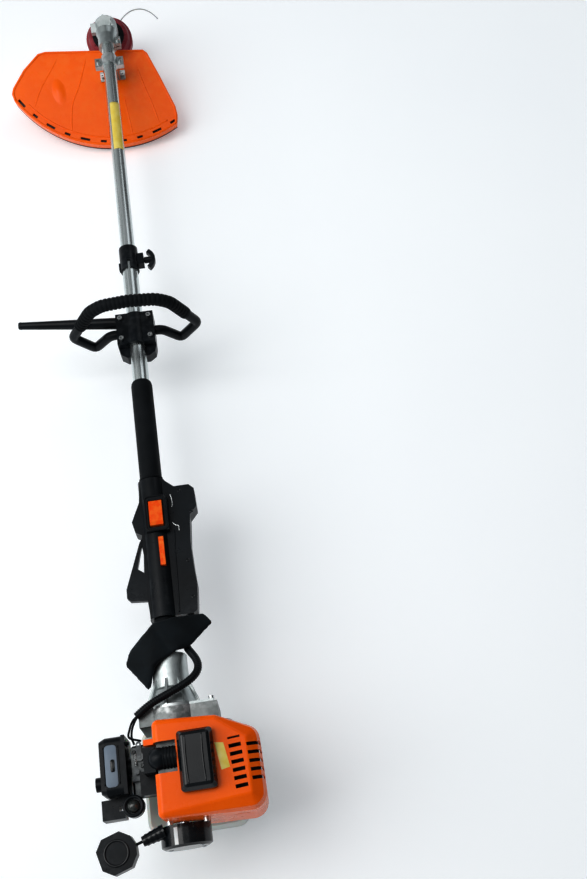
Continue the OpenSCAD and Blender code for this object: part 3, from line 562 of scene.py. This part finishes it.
def make_head_details():
    for name, turn in (("eyelet_a", 52), ("eyelet_b", 232)):
        out = Vector((math.cos(math.radians(turn)), math.sin(math.radians(turn))))
        start = on_head(45.5 * out.x, 45.5 * out.y, LINE_Z)
        end = on_head(49.2 * out.x, 49.2 * out.y, LINE_Z)
        lathe(name, [(0, 3.9), (2.6, 3.9), (3.2, 3.8), (3.7, 3.2), (3.7, 2.0), (3.0, 1.5), (0, 1.5)],
              start, end - start, "bright_steel", "cutting_head", 24)


# ---------- guard ----------

HEAD_UP = tuple(on_head(0, 0, 1) - on_head(0, 0, 0))
GUARD_TOP = -12
GUARD_R = 248
REAR_ARC = [(GUARD_R * math.sin(math.radians(a)), -GUARD_R * math.cos(math.radians(a)))
            for a in [-58 + 2.9 * k for k in range(31)] if a <= 29.01]
GUARD_CORNERS = [(124, -198), (122, -180), (98, -112), (78, -60), (70, -52), (-134, -34), (-150, -37),
                 (-184, -68), (-210, -104), (-214, -116)]


def inset(outline, distance):
    """The outline moved inwards, corner by corner; it runs anticlockwise."""
    out = []
    n = len(outline)
    for k in range(n):
        before, here, after = (Vector(outline[(k + d) % n]) for d in (-1, 0, 1))
        first = (here - before).normalized()
        second = (after - here).normalized()
        normal = (Vector((-first.y, first.x)) + Vector((-second.y, second.x))).normalized()
        square = max(0.5, normal.dot(Vector((-first.y, first.x))))
        out.append(tuple(here + normal * distance / square))
    return out


def make_guard_details():
    outline = REAR_ARC + GUARD_CORNERS
    rim = [on_head(x, y, GUARD_TOP - 0.4) for x, y in inset(outline, 2.6)]
    rim = resample(rim + [rim[0]], 5.0)
    sweep("guard_rim", rim, lambda i: 2.4, 12, "orange_gloss", up=HEAD_UP, flat=0.8)
    lip = [on_head(x, y, GUARD_TOP - 0.2) for x, y in inset(REAR_ARC + GUARD_CORNERS, 17)[2:-11]]
    sweep("guard_lip", resample(lip, 5.0), lambda i: 1.5, 10, "orange_gloss", up=HEAD_UP, flat=0.7)
    for name, route in (
        ("guard_ridge_left", [(-110, -50), (-134, -84), (-154, -113), (-173, -153)]),
        ("guard_ridge_mid", [(-50, -54), (-72, -111), (-93, -156), (-102, -216)]),
        ("guard_ridge_right", [(51, -80), (60, -120), (74, -170), (84, -214)]),
    ):
        line = smooth_path([on_head(x, y, GUARD_TOP - 0.3) for x, y in route], 5.0)
        last = len(line) - 1
        sweep(name, line, lambda i: 1.7 * min(1.0, 0.25 + min(i, last - i) / 4), 10, "orange_gloss",
              up=HEAD_UP, flat=0.55)
    make_guard_boss()
    make_guard_rib()
    make_guard_slot_shade()


def make_guard_boss():
    """The low oval swelling on the left half of the guard."""
    build = bmesh.new()
    rings = []
    for ring in range(9):
        f = ring / 8
        height = 3.2 * (0.5 + 0.5 * math.cos(math.pi * f))
        rings.append([
            build.verts.new(on_head(-116 + 17 * f * math.cos(a) - 3 * f * math.sin(a),
                                    -122 + 33 * f * math.sin(a), GUARD_TOP - 0.15 + height))
            for a in (2 * math.pi * k / 40 for k in range(40))
        ] if ring else [build.verts.new(on_head(-116, -122, GUARD_TOP - 0.15 + height))])
    for k in range(40):
        build.faces.new((rings[0][0], rings[1][k], rings[1][(k + 1) % 40]))
    for low_ring, high_ring in zip(rings[1:], rings[2:]):
        for k in range(40):
            build.faces.new((low_ring[k], high_ring[k], high_ring[(k + 1) % 40], low_ring[(k + 1) % 40]))
    under = [build.verts.new(v.co + on_head(0, 0, -0.6) - on_head(0, 0, 0)) for v in rings[-1]]
    for k in range(40):
        build.faces.new((rings[-1][k], under[k], under[(k + 1) % 40], rings[-1][(k + 1) % 40]))
    build.faces.new(under)
    from_bmesh("guard_boss", build, "orange_gloss")


def make_guard_slot_shade():
    """A dark strip just below the slots of the guard: painted shade that makes the slots look dark."""
    build = bmesh.new()
    rings = []
    for a in [math.radians(-58 + 2.0 * k) for k in range(45)]:
        rings.append([build.verts.new(on_head(r * math.sin(a), -r * math.cos(a), z))
                      for r, z in ((233, -15.8), (244, -15.8), (244, -16.8), (233, -16.8))])
    for first, second in zip(rings, rings[1:]):
        for k in range(4):
            build.faces.new((first[k], first[(k + 1) % 4], second[(k + 1) % 4], second[k]))
    build.faces.new(rings[0])
    build.faces.new(rings[-1][::-1])
    from_bmesh("guard_slot_shade", build, "black_plastic")


def make_guard_rib():
    """A stiffening step under the tube, from the bracket to the rear edge."""
    for name, x in (("guard_step_left", -17), ("guard_step_right", 17)):
        line = [on_head(x * (1 + 0.5 * f), -144 - 90 * f, GUARD_TOP - 0.3)
                for f in [k / 16 for k in range(17)]]
        sweep(name, line, lambda i: 1.4 * min(1.0, 0.3 + min(i, 16 - i) / 3), 10, "orange_gloss",
              up=HEAD_UP, flat=0.6)


# ---------- handles ----------

LOOP_Y = 650
GRIP_PATH = [(92, 39.4), (68, 80), (46, 94), (0, 99)]


def corner_points(p, q, s, reach):
    a = q + (p - q).normalized() * reach
    b = q + (s - q).normalized() * reach
    return [a.lerp(q, f).lerp(q.lerp(b, f), f) for f in (0, 0.25, 0.5, 0.75, 1)]


def make_loop_grip():
    half = [Vector((x, z)) for x, z in GRIP_PATH]
    route = [Vector((-p.x, p.y)) for p in half] + half[-2::-1]
    points = [route[0]]
    for p, q, s in zip(route, route[1:], route[2:]):
        points += corner_points(p, q, s, 9)
    points.append(route[-1])
    line = resample([at(p.x, LOOP_Y, p.y) for p in points], 0.9)
    last = len(line) - 1

    def radius(i):
        end = min(i, last - i)
        if end < 5:
            return 10.3 + 0.6 * math.sin(end / 5 * math.pi / 2)
        return 10.95 if i % 8 < 5 else 9.9
    grip = sweep("loop_grip_ribbed", line, radius, 32, "black_rubber", up=(0, 1, 0))
    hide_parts("loop_grip")


def make_handle_details():
    # thin silver strips on the handle's right side: painted highlights along its edges
    for name, route in (
        ("handle_glint_upper", [(29, 326, 13.2), (30.5, 318, 13.2), (31, 308, 13.2), (29.5, 303, 13.2)]),
        ("handle_glint_lower", [(27.5, 277, 13.2), (33, 271, 13.2), (37, 270, 13.2), (37.5, 261, 13.2)]),
    ):
        line = smooth_path([at(*p) for p in route], 1.5)
        sweep(name, line, lambda i: 0.9, 10, "spring_steel", flat=0.5)
    for k, (x, y) in enumerate([(60, 292), (44, 330), (48, 150), (46, 210)]):
        lathe(f"handle_screw_{k}",
              [(-1.5, 3.2), (0.2, 3.2), (0.6, 2.9), (0.6, 1.7), (-0.6, 1.4), (-0.6, 0.0)],
              at(x, y, 13.0), (0, 0, 1), "black_gloss", sides=24)
    lathe("tube_sleeve",
          [(0, 14.2), (0, 16.0), (1.0, 16.8), (13.0, 16.8), (14.0, 16.0), (14.0, 14.2)],
          at(0, 110, 0), (0, 1, 0), "black_rubber", sides=48)
    frame_line = [at(x, y, 25.1) for x, y in rounded_outline(-12.2, 22.2, 262, 321, 7)]
    sweep("switch_frame", resample(frame_line + [frame_line[0]], 2.0), lambda i: 1.3, 10,
          "black_plastic")
    seam = smooth_path([at(24, 128, 13.3), at(26, 170, 13.3), at(28, 230, 13.3), at(30, 262, 13.3)], 4)
    sweep("handle_seam", seam, lambda i: 1.1, 10, "black_plastic", flat=0.6)
    for k in range(3):
        lathe(f"collar_ring_{k}", [(-1.2, 18.6), (-0.8, 19.4), (0.8, 19.4), (1.2, 18.6)],
              at(0, 357 + 6 * k - 9, 0), (0, 1, 0), "black_rubber", sides=48)


# ---------- conduit and cables ----------

CONDUIT = [
    (42, 152, -8), (42, 138, -9), (41, 124, -9), (37, 110, -8), (32, 97, -4), (29, 83, 3),
    (30, 72, 11), (35, 62, 19), (41, 51, 25), (44, 40, 30), (42, 29, 35), (34, 19, 40),
    (22, 11, 44), (8, 4, 47), (-8, -3, 49), (-24, -10, 50), (-38, -18, 50), (-50, -26, 48),
    (-60, -36, 43), (-66, -46, 38),
]


def make_conduit():
    line = smooth_path([at(*p) for p in CONDUIT[:-2]], 0.85)
    sleeve = sweep("throttle_sleeve", line, lambda i: 5.9 if i % 4 < 2 else 5.3, 24, "black_plastic")
    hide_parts("throttle_conduit")
    for name, shift, reach in (("throttle_cable", 1.7, (-58, -62, 34)),
                               ("stop_lead", -1.9, (-48, -58, 33))):
        route = [(-46 + shift, -23 + shift, 49 - abs(shift)), (-54 + shift, -31, 46),
                 (-60 + shift, -41, 41), (-62 + shift, -52, 38), reach]
        cable = smooth_path([at(*p) for p in route], 2.0)
        sweep(name, cable, lambda i: 1.6, 12, "black_rubber")


# ---------- hip pad ----------

def make_hip_pad():
    source = NODES["hip_pad"]
    mesh = source.data.copy()
    pad = bpy.data.objects.new("hip_pad_fabric", mesh)
    bpy.context.scene.collection.objects.link(pad)
    bpy.context.view_layer.objects.active = pad
    remesh = pad.modifiers.new("remesh", "REMESH")
    remesh.mode = "VOXEL"
    remesh.voxel_size = PAD_VOXEL
    depsgraph = bpy.context.evaluated_depsgraph_get()
    shaped = bpy.data.meshes.new_from_object(pad.evaluated_get(depsgraph))
    pad.modifiers.clear()
    pad.data = shaped
    rest = [v.co.copy() for v in shaped.vertices]
    inflate(pad, rest, PAD_SWELL)
    wrinkle(pad)
    pad.data.materials.clear()
    pad.data.materials.append(MATERIALS["pad_fabric"])
    for polygon in pad.data.polygons:
        polygon.use_smooth = True
    smooth = pad.modifiers.new("smooth", "SUBSURF")
    smooth.levels = smooth.render_levels = 1
    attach(pad, "root")
    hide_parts("hip_pad")


PAD_SWELL = 0.004
PAD_VOXEL = 0.0035


def inflate(pad, rest, cap):
    """Blows the pad up a little as cloth, then keeps every point within cap of where it was."""
    cloth = pad.modifiers.new("cloth", "CLOTH")
    settings = cloth.settings
    settings.quality = 4
    settings.use_pressure = True
    settings.uniform_pressure_force = 4.0
    settings.effector_weights.gravity = 0.0
    scene = bpy.context.scene
    for frame_number in range(1, 13):
        scene.frame_set(frame_number)
    depsgraph = bpy.context.evaluated_depsgraph_get()
    blown = pad.evaluated_get(depsgraph).data
    moved = [v.co.copy() for v in blown.vertices]
    pad.modifiers.clear()
    scene.frame_set(1)
    for vertex, new, old in zip(pad.data.vertices, moved, rest):
        step = new - old
        vertex.co = old + step * min(1.0, cap / max(step.length, 1e-9)) * 0.6


def wrinkle(pad):
    """A soft fold across the pad and a slack surface."""
    for vertex in pad.data.vertices:
        p = (vertex.co - SHAFT_ORIGIN) / MM
        fold = math.exp(-((p.x - 2 + 0.5 * (p.y - 70)) / 5.0) ** 2) * (1 if p.z > 18 else 0)
        ripple = math.sin(p.x * 0.11 + p.y * 0.07) * math.sin(p.y * 0.13 - p.x * 0.05)
        vertex.co += Vector((0, 0, (-1.1 * fold + 0.5 * ripple) * MM))


# ---------- engine details ----------

def make_engine_details():
    # raised grey panel and dark window on top of the air filter, between two ribs
    slab("filter_panel", rounded_outline(-99.0, -82.0, -117, -60, 5), 47.4, 48.9, "filter_grey",
         round_mm=0.5)
    slab("filter_window", rounded_outline(-91.5, -85.5, -97, -80, 2), 48.7, 49.5, "black_gloss",
         round_mm=0.3)
    for name, x in (("filter_rib_a", -100.6), ("filter_rib_b", -79.6)):
        sweep(name, resample([at(x, -114, 47.9), at(x, -62, 47.9)], 4), lambda i: 1.1, 10,
              "black_plastic", flat=0.7)
    # plug cover: two long ribs with a dip between them
    for name, x in (("plug_rib_a", 20), ("plug_rib_b", 43)):
        line = smooth_path([at(x, -138, 114.2), at(x - 1.2, -120, 114.9), at(x - 1.4, -106, 115.0),
                            at(x - 1.2, -92, 114.9), at(x, -74, 114.2)], 3)
        sweep(name, line, lambda i: 1.5, 12, "black_gloss", flat=0.55)
    # blank stickers
    slab("engine_sticker", [(57.8, -86.5), (70, -88.3), (75.5, -121.5), (63.5, -123.8)], 95.0, 95.25,
         "sticker_yellow", round_mm=0.1)
    wrap_label("starter_label", 36.08, 104, 113, -203, -180, "sticker_white")
    wrap_label("tube_sticker", 13.12, 30, 120, 1068, 1190, "sticker_yellow")
    for k, (x, z) in enumerate([(22, 14), (-24, -10), (22, -18)]):
        lathe(f"starter_screw_{k}",
              [(-2, 3.4), (0.4, 3.4), (0.8, 3.0), (0.8, 1.8), (-0.4, 1.6), (-0.4, 0.0)],
              at(x, -206, z), (0, -1, 0), "bright_steel", sides=24)
    # intake boot: bellows rings
    for k in range(4):
        lathe(f"boot_ring_{k}", [(-1.3, 14.0), (-0.6, 15.2), (0.6, 15.2), (1.3, 14.0)],
              at(-13 + 4.4 * k, -95, 83.5), (1, 0, 0), "black_rubber", sides=48)
    # carburettor: screws and the return spring
    for k, (x, y, h) in enumerate([(-57, -100, 4), (-49, -92, 3), (-60, -72, 3), (-47, -104, 5)]):
        lathe(f"carb_screw_{k}",
              [(-1, 3.0), (h, 3.0), (h + 0.6, 2.4), (h + 0.6, 1.2), (h - 0.4, 1.0), (h - 0.4, 0)],
              at(x, y, 34), (0, 0, 1), "carb_metal", sides=20)
    spring = [at(-57.5 + 2.4 * math.cos(k * 0.7), -92 + 0.55 * k * 0.45, 37 + 2.4 * math.sin(k * 0.7))
              for k in range(70)]
    sweep("throttle_spring", resample(spring, 1.0), lambda i: 0.5, 8, "spring_steel", up=(0.3, 0.9, 0.1))
    # dark sheet inside the shroud behind the louvres: painted shade that fills the openings
    profile = [(73, 73), (96, 77), (108, 74), (115.3, 66), (116.4, 36)]
    inner = [(x - 1.0, z - 1.2) for x, z in profile]
    slab("louvre_shade_sheet", profile + inner[::-1], -154, -86, "black_rubber",
         place=lambda x, z, y: at(x, y, z), round_mm=0.3, smooth=False)
    # dark plate under the carburettor, between the filter and the cylinder: painted shade in the gap between
    # the parts
    slab("carb_gap_shade", rounded_outline(-69, -31, -131, -57, 5), -5.0, -2.0, "black_rubber",
         round_mm=0.6)
    # pull grip: a raised ring on its upper face
    lathe("grip_ring", [(-0.4, 18.0), (0.8, 18.0), (1.4, 17.2), (1.4, 15.4), (0.7, 14.6), (-0.4, 14.6)],
          at(-94, -201, 33), (0, 0, 1), "black_gloss", "pull_grip", 64)
    # primer collar
    lathe("primer_collar",
          [(0, 15.0), (2.2, 15.2), (3.4, 14.6), (4.2, 13.2), (4.2, 11.0), (2.4, 9.8), (0, 9.8)],
          at(-66, -143.8, 31.6), (0, 0, 1), "black_plastic", sides=64)


LABEL_COLUMNS, LABEL_ROWS = 15, 20
LABEL_THICKNESS = 0.09


def wrap_label(name, r, from_deg, to_deg, low_y, high_y, material):
    """A thin blank label wrapped over a round part that runs along the shaft axis."""
    build = bmesh.new()
    angles = [math.radians(from_deg + (to_deg - from_deg) * k / LABEL_COLUMNS)
              for k in range(LABEL_COLUMNS + 1)]
    layers = []
    for radius in (r, r + LABEL_THICKNESS):
        layers.append([
            [build.verts.new(at(radius * math.cos(a), low_y + (high_y - low_y) * j / LABEL_ROWS,
                                radius * math.sin(a)))
             for a in angles] for j in range(LABEL_ROWS + 1)
        ])
    for grid in layers:
        for first, second in zip(grid, grid[1:]):
            for k in range(LABEL_COLUMNS):
                build.faces.new((first[k], second[k], second[k + 1], first[k + 1]))
    inner, outer = (edge_loop(grid) for grid in layers)
    count = len(inner)
    for k in range(count):
        build.faces.new((inner[k], inner[(k + 1) % count], outer[(k + 1) % count], outer[k]))
    from_bmesh(name, build, material)


def edge_loop(grid):
    """The points round the edge of a grid, in order."""
    return (grid[0] + [row[-1] for row in grid[1:]] + grid[-1][-2::-1]
            + [row[0] for row in grid[-2:0:-1]])


def soften_edges():
    for node, width in (
        ("shroud", 1.6), ("guard", 0.9), ("handle_shell_top", 2.4), ("handle_shell_bottom", 2.0),
        ("plug_cover", 1.0), ("air_filter_cover", 1.2), ("air_filter_base", 1.2),
        ("intake_boot", 1.5), ("clutch_case", 1.0), ("crankcase", 1.0), ("gear_case", 0.9),
        ("bracket_cap", 1.5), ("bracket_base", 1.5), ("coupler_body", 1.0),
        ("coupler_knob", 1.2), ("throttle_trigger", 1.2), ("lockout_lever", 0.8), ("stop_switch", 1.0),
        ("carburettor", 0.8), ("muffler", 1.5), ("fuel_tank", 1.0), ("fuel_cap", 0.7), ("guard_bracket", 0.5),
        ("starter_handle", 2.2), ("starter_housing", 0.8), ("filter_knob", 0.9), ("cap_screws", 0.3),
        ("head_housing", 0.5), ("bump_knob", 0.8), ("choke_lever", 0.6), ("barrier_bar", 1.0),
    ):
        soften(node, width)


make_camera()
MATERIALS = make_materials()
make_cutting_line()
make_studio()
make_floor()
dress_nodes(MATERIALS)
soften_edges()
make_head_details()
make_guard_details()
make_loop_grip()
make_handle_details()
make_conduit()
make_hip_pad()
make_engine_details()
